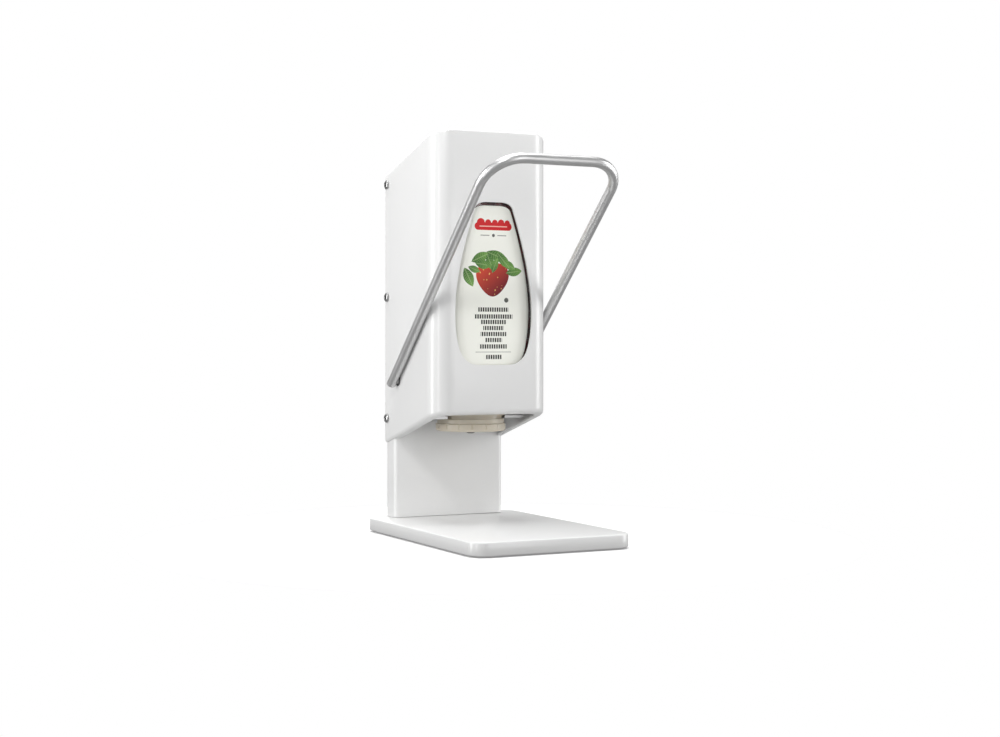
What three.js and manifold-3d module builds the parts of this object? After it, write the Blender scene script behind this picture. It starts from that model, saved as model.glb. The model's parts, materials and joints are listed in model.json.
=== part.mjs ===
// Lever-operated portion dispenser for an upside-down squeeze bottle of fruit spread.
// Millimetres. +Z up, +X to the right, -Y towards the person who serves; the origin is on
// the table, under the middle of the whole dispenser.
import * as THREE from 'three';
import { mergeVertices } from 'three/addons/utils/BufferGeometryUtils.js';
import Module from 'manifold-3d';

const wasm = await Module();
wasm.setup();

// ---------------------------------------------------------------- driving dimensions

const FIT_GAP = 0.3; // between pieces that touch

const HOOD_WIDTH = 130;
const HOOD_FRONT = 4; // outer face of the front panel
const HOOD_REAR = 130;
const HOOD_SHEET = 2;
const HOOD_CORNER = 22; // vertical corners, outside
const HOOD_EDGE_BEND = 4; // folded top and bottom edges, outside
const HOOD_BOTTOM = 127.3; // at the front panel
const HOOD_TOP = 411.1; // at the front panel
const HOOD_RAKE = 0.284; // both edges drop by this much per mm towards the rear
const BOTTOM_LIP = 9;
const TOP_LIP = 3.4;

const BASE_WIDTH = 171;
const BASE_THICKNESS = 13.5;
const BASE_CORNER = 18;
const BASE_EDGE = 1.6;
const BASE_FRONT = -127.6;
const FOOT_HEIGHT = 1.2; // how far the feet hold the base off the table
const FOOT_RADIUS = 10;
const BASE_TOP = FOOT_HEIGHT + BASE_THICKNESS;

const COLUMN_HALF = 62.6;
const COLUMN_FRONT = 109;
const COLUMN_SHEET = 2.5;
const COLUMN_BEND = 5;
const COLUMN_TOP = 371;

const M5_HOLE = 2.8; // clearance holes' radius
const SCREW_Y = HOOD_REAR - 5.4; // the row of screws down each side of the hood
const SCREW_HEIGHTS = [118, 245, 363];

const PIVOT_Y = 96.5;
const PIVOT_Z = 158.6;
const LEVER_ANGLE = 0.742; // rise of the lever's arms at rest, radians
const LEVER_REACH = 309.9; // pivot to the middle of the bar
const LEVER_HALF = 70.5; // arms' centrelines
const LEVER_CORNER = 35;
const ROD_RADIUS = 5;
const STUB_RADIUS = 4;
const LEVER_TRAVEL = THREE.MathUtils.degToRad(20);

const AXIS_Y = 58; // the dosing unit's upright axis
const SHELF_TOP = 136;
const SHELF_SHEET = 2.5;
const HEAD_BOTTOM = 106.7;
const HEAD_RADIUS = 36;
const BOTTLE_FRONT = 9;
const BOTTLE_SEAT = 141.2; // the bottle's shoulder
const BOTTLE_WALL = 1.3;

const BASE_REAR = LEVER_REACH * Math.cos(LEVER_ANGLE) - PIVOT_Y + ROD_RADIUS;
const CRANK_REACH = PIVOT_Y - AXIS_Y; // pivot to the rollers, along Y
const CRANK_REST = LEVER_TRAVEL / 2; // the cranks point up by half their travel

const WHITE = { color: 0xeeeeec, roughness: 0.45, metalness: 0.1 };
const STEEL = { color: 0xb9bbbd, roughness: 0.3, metalness: 1 };
const CREAM = { color: 0xd9cfb8, roughness: 0.4, metalness: 0 };
const DARK = { color: 0x3a3b3d, roughness: 0.6, metalness: 0 };
const NYLON = { color: 0xdcdcd6, roughness: 0.5, metalness: 0 };

// ---------------------------------------------------------------- solids and placing

/** A closed geometry as a manifold solid, with its faces pointing out. */
function solid(geometry) {
  const bare = geometry.clone();
  bare.deleteAttribute('normal');
  bare.deleteAttribute('uv');
  const merged = mergeVertices(bare, 1e-3);
  const position = merged.attributes.position;
  const corners = [];
  let volume = 0;
  for (let i = 0; i < merged.index.count; i += 3) {
    const [a, b, c] = [0, 1, 2].map((k) => merged.index.getX(i + k));
    if (a === b || b === c || c === a) continue;
    corners.push([a, b, c]);
    const [p, q, r] = [a, b, c].map((k) => new THREE.Vector3().fromBufferAttribute(position, k));
    volume += p.dot(q.cross(r));
  }
  const outward = volume > 0 ? corners : corners.map(([a, b, c]) => [a, c, b]);
  return new wasm.Manifold(
    new wasm.Mesh({
      numProp: 3,
      vertProperties: new Float32Array(position.array),
      triVerts: new Uint32Array(outward.flat()),
    }),
  );
}

function geometryOf(body) {
  const mesh = body.getMesh();
  const geometry = new THREE.BufferGeometry();
  geometry.setAttribute('position', new THREE.BufferAttribute(mesh.vertProperties, 3));
  geometry.setIndex(new THREE.BufferAttribute(mesh.triVerts, 1));
  return geometry;
}

function cut(body, ...tools) {
  return tools.reduce((left, tool) => left.subtract(tool), body);
}

function join(body, ...others) {
  return others.reduce((whole, other) => whole.add(other), body);
}

/** A box between two corners. */
function block(low, high) {
  const geometry = new THREE.BoxGeometry(...high.map((v, i) => v - low[i]));
  geometry.translate(...high.map((v, i) => (v + low[i]) / 2));
  return solid(geometry);
}

/** A plan outline, extruded from one height to another; edge rounds its rims. */
function upright(shape, bottom, top, { edge = 0, curve = 6, rims = 3 } = {}) {
  const geometry = new THREE.ExtrudeGeometry(shape, {
    depth: top - bottom - 2 * edge,
    curveSegments: curve,
    bevelEnabled: edge > 0,
    bevelThickness: edge,
    bevelSize: edge,
    bevelOffset: -edge,
    bevelSegments: rims,
  });
  return geometry.translate(0, 0, bottom + edge);
}

/** An outline in (y, z), extruded along X from one x to another. */
function sideways(shape, from, to, curve = 6) {
  const geometry = new THREE.ExtrudeGeometry(shape, {
    depth: to - from,
    curveSegments: curve,
    bevelEnabled: false,
  });
  const turn = new THREE.Matrix4().makeBasis(
    new THREE.Vector3(0, 1, 0),
    new THREE.Vector3(0, 0, 1),
    new THREE.Vector3(1, 0, 0),
  );
  return geometry.applyMatrix4(turn).translate(from, 0, 0);
}

/** An outline in (x, z), extruded along Y from one y to another. */
function frontal(shape, from, to, curve = 8) {
  const geometry = new THREE.ExtrudeGeometry(shape, {
    depth: to - from,
    curveSegments: curve,
    bevelEnabled: false,
  });
  return geometry.rotateX(Math.PI / 2).translate(0, to, 0);
}

/** A cylinder along an axis ('x', 'y' or 'z') between two places on it. */
function cylinder(axis, radius, from, to, [u, v], sides = 24) {
  const geometry = new THREE.CylinderGeometry(radius, radius, to - from, sides);
  const middle = (from + to) / 2;
  if (axis === 'x') geometry.rotateZ(-Math.PI / 2).translate(middle, u, v);
  if (axis === 'y') geometry.translate(u, middle, v);
  if (axis === 'z') geometry.rotateX(Math.PI / 2).translate(u, v, middle);
  return solid(geometry);
}

/** A turned piece about an upright axis, from its (radius, height) outline. */
function turned(outline, [x, y], sides = 36) {
  const points = [...outline, outline[0]].map(([r, z]) => new THREE.Vector2(r, z));
  const geometry = new THREE.LatheGeometry(points, sides);
  return solid(geometry.rotateX(Math.PI / 2).translate(x, y, 0));
}

function roundedRectangle(left, front, right, rear, radius) {
  const shape = new THREE.Shape();
  shape.moveTo(left + radius, front);
  shape.lineTo(right - radius, front);
  shape.absarc(right - radius, front + radius, radius, -Math.PI / 2, 0);
  shape.lineTo(right, rear - radius);
  shape.absarc(right - radius, rear - radius, radius, 0, Math.PI / 2);
  shape.lineTo(left + radius, rear);
  shape.absarc(left + radius, rear - radius, radius, Math.PI / 2, Math.PI);
  shape.lineTo(left, front + radius);
  shape.absarc(left + radius, front + radius, radius, Math.PI, 1.5 * Math.PI);
  return shape;
}

const dispenser = new THREE.Group();

function place(name, body, look) {
  const mesh = new THREE.Mesh(geometryOf(body), new THREE.MeshStandardMaterial(look));
  mesh.name = name;
  dispenser.add(mesh);
}

const SIDES = [
  ['left', -1],
  ['right', 1],
];

// ---------------------------------------------------------------- fasteners

/** Button-head screw with a hexagon socket; its head's face is turned to +Z. */
function buttonScrew(thread, head, headHeight, length) {
  const shank = new THREE.CylinderGeometry(thread, thread, length + headHeight / 2, 12);
  shank.rotateX(Math.PI / 2).translate(0, 0, headHeight / 4 - length / 2);
  const dome = [
    [0, 0],
    [head, 0],
    [head, headHeight * 0.35],
    [head * 0.86, headHeight * 0.75],
    [head * 0.6, headHeight],
    [0, headHeight],
  ];
  const socket = new THREE.CylinderGeometry(thread * 0.68, thread * 0.68, headHeight, 6);
  socket.rotateX(Math.PI / 2).translate(0, 0, headHeight);
  return cut(join(turned(dome, [0, 0], 16), solid(shank)), solid(socket));
}

function hexNut(thread, acrossFlats, height) {
  const outer = new THREE.CylinderGeometry(
    acrossFlats / Math.sqrt(3), acrossFlats / Math.sqrt(3), height, 6,
  );
  outer.rotateX(Math.PI / 2).translate(0, 0, height / 2);
  return cut(solid(outer), cylinder('z', thread + FIT_GAP, -1, height + 1, [0, 0], 16));
}

/** A body made around the origin, facing +Z, turned to face another way and put in place. */
function aim(body, direction, position) {
  const turn = new THREE.Quaternion().setFromUnitVectors(
    new THREE.Vector3(0, 0, 1),
    new THREE.Vector3(...direction),
  );
  const geometry = geometryOf(body).applyQuaternion(turn);
  return solid(geometry.translate(...position));
}

// ---------------------------------------------------------------- base and feet

const FOOT_INSET = 24;
const FOOT_X = BASE_WIDTH / 2 - FOOT_INSET;
const FOOT_PLACES = [BASE_FRONT + FOOT_INSET, BASE_REAR - FOOT_INSET].flatMap((y) => [
  [-FOOT_X, y],
  [FOOT_X, y],
]);
const FOOT_RECESS = 2;
const FOOT_STEM = 3;
const FOOT_STEM_DEPTH = 5;
const BASE_SCREW_RADIUS = 3;
const BASE_SCREW_Y = 120;
const BASE_SCREW_X = [-42, 0, 42];
const COLUMN_FLOOR = BASE_TOP + FIT_GAP;

function basePlate() {
  const outline = roundedRectangle(
    -BASE_WIDTH / 2, BASE_FRONT, BASE_WIDTH / 2, BASE_REAR, BASE_CORNER,
  );
  const slab = solid(upright(outline, FOOT_HEIGHT, BASE_TOP, { edge: BASE_EDGE, curve: 5, rims: 2 }));
  const stemTop = FOOT_HEIGHT + FOOT_RECESS + FOOT_STEM_DEPTH;
  const recesses = FOOT_PLACES.map((at) =>
    join(
      cylinder('z', FOOT_RADIUS + FIT_GAP, 0, FOOT_HEIGHT + FOOT_RECESS, at, 24),
      cylinder('z', FOOT_STEM + FIT_GAP, 0, stemTop, at, 12),
    ),
  );
  const threads = BASE_SCREW_X.map((x) =>
    cylinder('z', BASE_SCREW_RADIUS + FIT_GAP, FOOT_HEIGHT + 3, BASE_TOP + 1, [x, BASE_SCREW_Y], 16),
  );
  return cut(slab, ...recesses, ...threads);
}

function foot(at) {
  const top = FOOT_HEIGHT + FOOT_RECESS - FIT_GAP;
  const outline = [
    [0, 0],
    [FOOT_RADIUS - 1.2, 0],
    [FOOT_RADIUS, 1],
    [FOOT_RADIUS, top],
    [FOOT_STEM, top],
    [FOOT_STEM, top + FOOT_STEM_DEPTH - FIT_GAP],
    [0, top + FOOT_STEM_DEPTH - FIT_GAP],
  ];
  return turned(outline, at, 20);
}

place('base_plate', basePlate(), WHITE);
FOOT_PLACES.forEach((at, i) => place(`foot_${i + 1}`, foot(at), DARK));

// ---------------------------------------------------------------- back column

const SHELF_SCREW_X = [-40, 40];
const SHELF_SCREW_Z = 123;
const SPRING_ANCHOR_Z = PIVOT_Z - 8.5;
const SPRING_ANCHOR_X = 50.3;

/** Plan of the folded column: a channel that is open to the rear. */
function channelOutline() {
  const inner = COLUMN_HALF - COLUMN_SHEET;
  const bend = COLUMN_BEND - COLUMN_SHEET;
  const back = COLUMN_FRONT + COLUMN_SHEET;
  const shape = new THREE.Shape();
  shape.moveTo(-COLUMN_HALF, HOOD_REAR);
  shape.lineTo(-COLUMN_HALF, COLUMN_FRONT + COLUMN_BEND);
  shape.absarc(
    -COLUMN_HALF + COLUMN_BEND, COLUMN_FRONT + COLUMN_BEND, COLUMN_BEND, Math.PI, 1.5 * Math.PI,
  );
  shape.absarc(
    COLUMN_HALF - COLUMN_BEND, COLUMN_FRONT + COLUMN_BEND, COLUMN_BEND, 1.5 * Math.PI, 2 * Math.PI,
  );
  shape.lineTo(COLUMN_HALF, HOOD_REAR);
  shape.lineTo(inner, HOOD_REAR);
  shape.absarc(inner - bend, back + bend, bend, 2 * Math.PI, 1.5 * Math.PI, true);
  shape.absarc(-inner + bend, back + bend, bend, 1.5 * Math.PI, Math.PI, true);
  shape.lineTo(-inner, HOOD_REAR);
  return shape;
}

function backColumn() {
  const channel = solid(upright(channelOutline(), COLUMN_FLOOR, COLUMN_TOP, { curve: 3 }));
  const tab = block(
    [-COLUMN_HALF + 5, COLUMN_FRONT + 1, COLUMN_FLOOR],
    [COLUMN_HALF - 5, HOOD_REAR - 2, COLUMN_FLOOR + COLUMN_SHEET],
  );
  const sideHoles = SCREW_HEIGHTS.map((z) => cylinder('x', M5_HOLE, -70, 70, [SCREW_Y, z], 16));
  const floorHoles = BASE_SCREW_X.map((x) =>
    cylinder('z', BASE_SCREW_RADIUS + FIT_GAP, 10, 30, [x, BASE_SCREW_Y], 16),
  );
  const shelfHoles = SHELF_SCREW_X.map((x) =>
    cylinder('y', M5_HOLE, 100, 120, [x, SHELF_SCREW_Z], 16),
  );
  const springHoles = SIDES.map(([, side]) =>
    cylinder('y', 1.7, 100, 120, [side * SPRING_ANCHOR_X, SPRING_ANCHOR_Z], 12),
  );
  return cut(join(channel, tab), ...sideHoles, ...floorHoles, ...shelfHoles, ...springHoles);
}

place('back_column', backColumn(), WHITE);
const baseScrewSeat = COLUMN_FLOOR + COLUMN_SHEET + FIT_GAP;
BASE_SCREW_X.forEach((x, i) => {
  const screw = buttonScrew(BASE_SCREW_RADIUS, 5.5, 3.3, 12);
  place(`base_screw_${i + 1}`, aim(screw, [0, 0, 1], [x, BASE_SCREW_Y, baseScrewSeat]), STEEL);
});

// ---------------------------------------------------------------- hood

const BUSH_RADIUS = 6;
const BUSH_FLANGE = 8.5;
const BUSH_FLANGE_THICKNESS = 1.2;
const TRIM = 30; // how far the raked solids run past the rear before they are cut off
const COLUMN_CLEARANCE = 0.6;
const WINDOW_DEPTH = 30; // reaches through the front panel only

/** Plan of the hood, set in from its outer face; it runs past the rear to be trimmed. */
function hoodOutline(inset, rear) {
  const half = HOOD_WIDTH / 2 - inset;
  const front = HOOD_FRONT + inset;
  const radius = HOOD_CORNER - inset;
  const shape = new THREE.Shape();
  shape.moveTo(-half, rear);
  shape.lineTo(-half, front + radius);
  shape.absarc(-half + radius, front + radius, radius, Math.PI, 1.5 * Math.PI);
  shape.absarc(half - radius, front + radius, radius, 1.5 * Math.PI, 2 * Math.PI);
  shape.lineTo(half, rear);
  return shape;
}

/** Tips a body's level faces to the slope of the hood's edges; uprights stay upright. */
function raked(geometry) {
  const shear = new THREE.Matrix4();
  shear.set(1, 0, 0, 0, 0, 1, 0, 0, 0, -HOOD_RAKE, 1, HOOD_RAKE * HOOD_FRONT, 0, 0, 0, 1);
  return solid(geometry.applyMatrix4(shear));
}

/** Teardrop outline in (x, z), grown outwards at its widest and let down from its top. */
function teardrop(grow = 0, drop = 0, low = 0) {
  const wide = 43 + grow;
  const right = [
    [[18, 175 - low]],
    [[31, 176 - low], [38 + grow, 184 - low], [40.5 + grow, 199]],
    [[wide - 0.7, 207], [wide, 217], [wide, 229]],
    [[wide, 262], [31 + grow / 3, 303 - drop], [21.5, 331.5 - drop]],
    [[20, 336 - drop], [16, 337.8 - drop], [9, 338.4 - drop]],
  ];
  const shape = new THREE.Shape();
  shape.moveTo(0, 175 - low);
  for (const step of right) {
    if (step.length === 1) shape.lineTo(...step[0]);
    else shape.bezierCurveTo(...step.flat());
  }
  const mirrored = shape.getPoints(7).slice(1).reverse().map((p) => [-p.x, p.y]);
  const whole = new THREE.Shape(shape.getPoints(7));
  mirrored.forEach(([x, z]) => whole.lineTo(x, z));
  return whole;
}

function hood() {
  const past = HOOD_REAR + TRIM;
  const sheet = HOOD_SHEET;
  const bend = { edge: HOOD_EDGE_BEND, curve: 5, rims: 3 };
  const innerBend = { edge: HOOD_EDGE_BEND - sheet, curve: 5, rims: 2 };
  const outside = raked(upright(hoodOutline(0, past), HOOD_BOTTOM, HOOD_TOP, bend));
  const inside = raked(
    upright(hoodOutline(sheet, past), HOOD_BOTTOM + sheet, HOOD_TOP - sheet, innerBend),
  );
  const [under, over] = [HOOD_BOTTOM - TRIM, HOOD_TOP + TRIM];
  const aboveLip = HOOD_BOTTOM + 2 * HOOD_EDGE_BEND;
  const belowLip = HOOD_TOP - 2 * HOOD_EDGE_BEND;
  const underside = raked(upright(hoodOutline(BOTTOM_LIP, past), under, aboveLip));
  const mouth = raked(upright(hoodOutline(TOP_LIP, past), belowLip, over));
  const behind = block([-HOOD_WIDTH, HOOD_REAR, 0], [HOOD_WIDTH, past + TRIM, over]);
  const aroundColumn = block(
    [-HOOD_WIDTH / 2 + sheet, COLUMN_FRONT - COLUMN_CLEARANCE, 0],
    [HOOD_WIDTH / 2 - sheet, past, over],
  );
  const window = solid(frontal(teardrop(), -WINDOW_DEPTH, WINDOW_DEPTH));
  const screwHoles = SCREW_HEIGHTS.map((z) => cylinder('x', M5_HOLE, -80, 80, [SCREW_Y, z], 16));
  const pivotHole = cylinder('x', BUSH_RADIUS + FIT_GAP, -80, 80, [PIVOT_Y, PIVOT_Z], 20);
  return cut(
    outside, inside, underside, mouth, behind, aroundColumn, window, pivotHole, ...screwHoles,
  );
}

place('hood', hood(), WHITE);

for (const [side, sign] of SIDES) {
  SCREW_HEIGHTS.forEach((z, i) => {
    const face = HOOD_WIDTH / 2 + FIT_GAP;
    const nutFace = COLUMN_HALF - COLUMN_SHEET - FIT_GAP;
    const screw = buttonScrew(2.5, 4.75, 2.75, 12);
    place(
      `hood_screw_${side}_${i + 1}`,
      aim(screw, [sign, 0, 0], [sign * face, SCREW_Y, z]),
      STEEL,
    );
    place(
      `hood_nut_${side}_${i + 1}`,
      aim(hexNut(2.5, 8, 4), [-sign, 0, 0], [sign * nutFace, SCREW_Y, z]),
      STEEL,
    );
  });
}

// ---------------------------------------------------------------- bottle shelf

const SHELF_HALF = 60;
const SHELF_FRONT = 18;
const SHELF_REAR = COLUMN_FRONT - FIT_GAP;
const SHELF_FLANGE = 10;
const CYLINDER_RADIUS = 28;
const EAR_X = [52.1, 54.3];
const EAR_HALF = 7;

function bottleShelf() {
  const low = SHELF_TOP - SHELF_SHEET;
  const plate = block([-SHELF_HALF, SHELF_FRONT, low], [SHELF_HALF, SHELF_REAR, SHELF_TOP]);
  const rearFlange = block(
    [-SHELF_HALF + 8, SHELF_REAR - SHELF_SHEET, 114],
    [SHELF_HALF - 8, SHELF_REAR, SHELF_TOP],
  );
  const sideFlanges = SIDES.map(([, sign]) => {
    const [inner, outer] = [SHELF_HALF - SHELF_SHEET, SHELF_HALF].map((x) => sign * x);
    return block(
      [Math.min(inner, outer), SHELF_FRONT + 12, SHELF_TOP - SHELF_FLANGE],
      [Math.max(inner, outer), SHELF_REAR, SHELF_TOP],
    );
  });
  const hole = cylinder('z', CYLINDER_RADIUS + 1, 100, 150, [0, AXIS_Y], 40);
  const slots = SIDES.map(([, sign]) => {
    const [near, far] = [EAR_X[0] - 1, EAR_X[1] + 1].map((x) => sign * x);
    return block(
      [Math.min(near, far), AXIS_Y - EAR_HALF - 1, 130],
      [Math.max(near, far), AXIS_Y + EAR_HALF + 1, 140],
    );
  });
  const screwHoles = SHELF_SCREW_X.map((x) =>
    cylinder('y', M5_HOLE, 100, 120, [x, SHELF_SCREW_Z], 16),
  );
  return cut(join(plate, rearFlange, ...sideFlanges), hole, ...slots, ...screwHoles);
}

place('bottle_shelf', bottleShelf(), WHITE);
SHELF_SCREW_X.forEach((x, i) => {
  const headFace = SHELF_REAR - SHELF_SHEET - FIT_GAP;
  const nutFace = COLUMN_FRONT + COLUMN_SHEET + FIT_GAP;
  const screw = buttonScrew(2.5, 4.75, 2.75, 12);
  place(`shelf_screw_${i + 1}`, aim(screw, [0, -1, 0], [x, headFace, SHELF_SCREW_Z]), STEEL);
  const nut = hexNut(2.5, 8, 4);
  place(`shelf_nut_${i + 1}`, aim(nut, [0, 1, 0], [x, nutFace, SHELF_SCREW_Z]), STEEL);
});

// ---------------------------------------------------------------- dosing unit

const NECK_RADIUS = 24.5;
const BORE_RADIUS = 25.5;
const CYLINDER_BOTTOM = 111;
const HEAD_TOP = 127;
const HEAD_FLOOR = 3.3;
const OUTLET_RADIUS = 6;
const GROOVE = [119.3, 122.9]; // the yoke's groove round the dosing head
const GROOVE_RADIUS = 32;
const GRIPS = 16;
const ON_AXIS = [0, AXIS_Y];

/** Fixed cylinder that hangs through the shelf and carries the bottle's shoulder. */
function dosingCylinder() {
  const flange = SHELF_TOP + FIT_GAP;
  return turned(
    [
      [BORE_RADIUS, CYLINDER_BOTTOM],
      [CYLINDER_RADIUS, CYLINDER_BOTTOM],
      [CYLINDER_RADIUS, flange],
      [41, flange],
      [42, flange + 1],
      [42, BOTTLE_SEAT - FIT_GAP],
      [38.5, BOTTLE_SEAT - FIT_GAP],
      [37, flange + 2.3],
      [BORE_RADIUS, flange + 2.3],
    ],
    ON_AXIS,
  );
}

function neckSeal() {
  const low = SHELF_TOP + FIT_GAP + 2.3 + FIT_GAP;
  const high = BOTTLE_SEAT - FIT_GAP;
  return turned([[26, low], [35, low], [35, high], [26, high]], ON_AXIS);
}

/** Ring nut that holds the cylinder under the shelf, with four flats for a wrench. */
function lockRing() {
  const high = SHELF_TOP - SHELF_SHEET - FIT_GAP;
  const low = HEAD_TOP + 2;
  const inner = CYLINDER_RADIUS + FIT_GAP;
  const ring = turned([[inner, low], [36, low], [36, high], [inner, high]], ON_AXIS);
  const notches = [0, 1, 2, 3].map((i) => {
    const angle = (i + 0.5) * (Math.PI / 2);
    const at = [36 * Math.cos(angle), AXIS_Y + 36 * Math.sin(angle)];
    return cylinder('z', 3, low - 1, high + 1, at, 12);
  });
  return cut(ring, ...notches);
}

/** Moving cup that telescopes over the cylinder; two tiers, a yoke groove and an outlet. */
function dosingHead() {
  const inner = CYLINDER_RADIUS + 0.6;
  const cup = turned(
    [
      [OUTLET_RADIUS, HEAD_BOTTOM],
      [HEAD_RADIUS - 3, HEAD_BOTTOM],
      [HEAD_RADIUS - 0.8, HEAD_BOTTOM + 0.8],
      [HEAD_RADIUS, HEAD_BOTTOM + 2.6],
      [HEAD_RADIUS, HEAD_BOTTOM + 7.5],
      [HEAD_RADIUS - 1.6, HEAD_BOTTOM + 8.3],
      [HEAD_RADIUS - 1.6, GROOVE[0]],
      [GROOVE_RADIUS, GROOVE[0]],
      [GROOVE_RADIUS, GROOVE[1]],
      [HEAD_RADIUS - 1.6, GROOVE[1]],
      [HEAD_RADIUS - 1.6, HEAD_TOP],
      [inner, HEAD_TOP],
      [inner, HEAD_BOTTOM + HEAD_FLOOR],
      [OUTLET_RADIUS, HEAD_BOTTOM + HEAD_FLOOR],
    ],
    ON_AXIS,
    48,
  );
  const grips = Array.from({ length: GRIPS }, (_, i) => {
    const angle = (i / GRIPS) * 2 * Math.PI;
    const at = [(HEAD_RADIUS + 0.5) * Math.cos(angle), AXIS_Y + (HEAD_RADIUS + 0.5) * Math.sin(angle)];
    return cylinder('z', 1.3, HEAD_BOTTOM + 2.8, HEAD_BOTTOM + 9, at, 6);
  });
  return cut(cup, ...grips);
}

/** Soft slit valve that snaps into the head's outlet. */
function outletValve() {
  const low = HEAD_BOTTOM - FIT_GAP;
  const radius = OUTLET_RADIUS - FIT_GAP;
  const valve = turned(
    [
      [0, low - 2.4],
      [3, low - 2.4],
      [5, low - 1.2],
      [8.5, low - 1.2],
      [8.5, low],
      [radius, low],
      [radius, HEAD_BOTTOM + HEAD_FLOOR - 0.4],
      [4.4, HEAD_BOTTOM + HEAD_FLOOR - 0.4],
      [3.6, low],
      [0, low - 1],
    ],
    ON_AXIS,
    24,
  );
  return cut(valve, block([-2.2, AXIS_Y - 0.25, low - 4], [2.2, AXIS_Y + 0.25, low + 1]));
}

const ROLLER_Z = PIVOT_Z + CRANK_REACH * Math.tan(CRANK_REST);
const CRANK_X = [56.4, 60.4];
const TRUNNION_RADIUS = 2.2;
const ROLLER_RADIUS = 4;

/** Fork plate in the head's groove, with an ear up each side that ends in a trunnion. */
function liftYoke() {
  const [low, high] = [GROOVE[0] + FIT_GAP, GROOVE[1] - FIT_GAP];
  const fork = block([-EAR_X[1], AXIS_Y - 14, low], [EAR_X[1], AXIS_Y + 39, high]);
  const gap = join(
    cylinder('z', GROOVE_RADIUS + 0.4, low - 1, high + 1, ON_AXIS, 40),
    block([-GROOVE_RADIUS - 0.4, AXIS_Y - 30, low - 1], [GROOVE_RADIUS + 0.4, AXIS_Y, high + 1]),
  );
  const ears = SIDES.map(([, sign]) => {
    const [from, to] = EAR_X.map((x) => sign * x).sort((a, b) => a - b);
    const strap = new THREE.Shape();
    strap.moveTo(AXIS_Y - EAR_HALF, low);
    strap.lineTo(AXIS_Y + EAR_HALF, low);
    strap.lineTo(AXIS_Y + EAR_HALF, ROLLER_Z);
    strap.absarc(AXIS_Y, ROLLER_Z, EAR_HALF, 0, Math.PI);
    return solid(sideways(strap, from, to));
  });
  const trunnions = SIDES.map(([, sign]) => {
    const [from, to] = [EAR_X[0] + 1, CRANK_X[1] + 0.8].map((x) => sign * x).sort((a, b) => a - b);
    return cylinder('x', TRUNNION_RADIUS, from, to, [AXIS_Y, ROLLER_Z], 16);
  });
  return join(cut(fork, gap), ...ears, ...trunnions);
}

function roller(sign) {
  const [from, to] = CRANK_X.map((x) => sign * x).sort((a, b) => a - b);
  const centre = [AXIS_Y, ROLLER_Z];
  return cut(
    cylinder('x', ROLLER_RADIUS, from, to, centre, 24),
    cylinder('x', TRUNNION_RADIUS + FIT_GAP, from - 1, to + 1, centre, 16),
  );
}

place('dosing_cylinder', dosingCylinder(), CREAM);
place('neck_seal', neckSeal(), DARK);
place('lock_ring', lockRing(), NYLON);
place('dosing_head', dosingHead(), CREAM);
place('outlet_valve', outletValve(), DARK);
place('lift_yoke', liftYoke(), STEEL);
SIDES.forEach(([side, sign]) => place(`yoke_roller_${side}`, roller(sign), NYLON));

// ---------------------------------------------------------------- lever

const ROD_PAST_PIVOT = 7;
const STUB_END = 49;
const CORNER_STEPS = 8;

/** Centreline of the bail: up one arm, across the grip and down the other arm. */
class BailPath extends THREE.Curve {
  constructor() {
    super();
    const straight = LEVER_REACH - LEVER_CORNER;
    const corner = (sign) =>
      Array.from({ length: CORNER_STEPS + 1 }, (_, i) => {
        const angle = ((sign < 0 ? i : CORNER_STEPS - i) / CORNER_STEPS) * (Math.PI / 2);
        const across = LEVER_HALF - LEVER_CORNER * (1 - Math.cos(angle));
        return [sign * across, straight + LEVER_CORNER * Math.sin(angle)];
      });
    const stations = [
      [-LEVER_HALF, -ROD_PAST_PIVOT], ...corner(-1), ...corner(1), [LEVER_HALF, -ROD_PAST_PIVOT],
    ];
    this.stations = stations.map(([x, along]) => {
      const y = PIVOT_Y - along * Math.cos(LEVER_ANGLE);
      return new THREE.Vector3(x, y, PIVOT_Z + along * Math.sin(LEVER_ANGLE));
    });
  }

  get steps() {
    return this.stations.length - 1;
  }

  getPoint(t, target = new THREE.Vector3()) {
    const at = Math.min(t * this.steps, this.steps - 1e-9);
    const before = Math.floor(at);
    return target.lerpVectors(this.stations[before], this.stations[before + 1], at - before);
  }

  /** Sections stand at the stations, so the straight runs need none between their ends. */
  getUtoTmapping(u) {
    return u;
  }

  /** At a station the section faces midway between the two runs that meet there. */
  getTangent(t, target = new THREE.Vector3()) {
    const step = 0.5 / this.steps;
    const ahead = this.getPoint(Math.min(t + step, 1));
    return target.subVectors(ahead, this.getPoint(Math.max(t - step, 0))).normalize();
  }
}

function circle(radius) {
  const shape = new THREE.Shape();
  shape.absarc(0, 0, radius, 0, 2 * Math.PI);
  return shape;
}

function leverBail() {
  const path = new BailPath();
  const rod = new THREE.ExtrudeGeometry(circle(ROD_RADIUS), {
    extrudePath: path,
    steps: path.steps,
    curveSegments: 8,
  });
  const stubs = SIDES.map(([, sign]) => {
    const [from, to] = [STUB_END, LEVER_HALF].map((x) => sign * x).sort((a, b) => a - b);
    return cylinder('x', STUB_RADIUS, from, to, [PIVOT_Y, PIVOT_Z], 16);
  });
  return join(solid(rod), ...stubs);
}

/** Plain bearing in the hood's side wall, with its flange on the inside. */
function pivotBush(sign) {
  const wall = HOOD_WIDTH / 2 - HOOD_SHEET - FIT_GAP;
  const inner = wall - BUSH_FLANGE_THICKNESS;
  const centre = [PIVOT_Y, PIVOT_Z];
  const along = (a, b) => [sign * a, sign * b].sort((p, q) => p - q);
  return cut(
    join(
      cylinder('x', BUSH_RADIUS, ...along(inner, HOOD_WIDTH / 2 + 0.2), centre, 20),
      cylinder('x', BUSH_FLANGE, ...along(inner, wall), centre, 20),
    ),
    cylinder('x', STUB_RADIUS + FIT_GAP, ...along(40, 80), centre, 16),
  );
}

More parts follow.
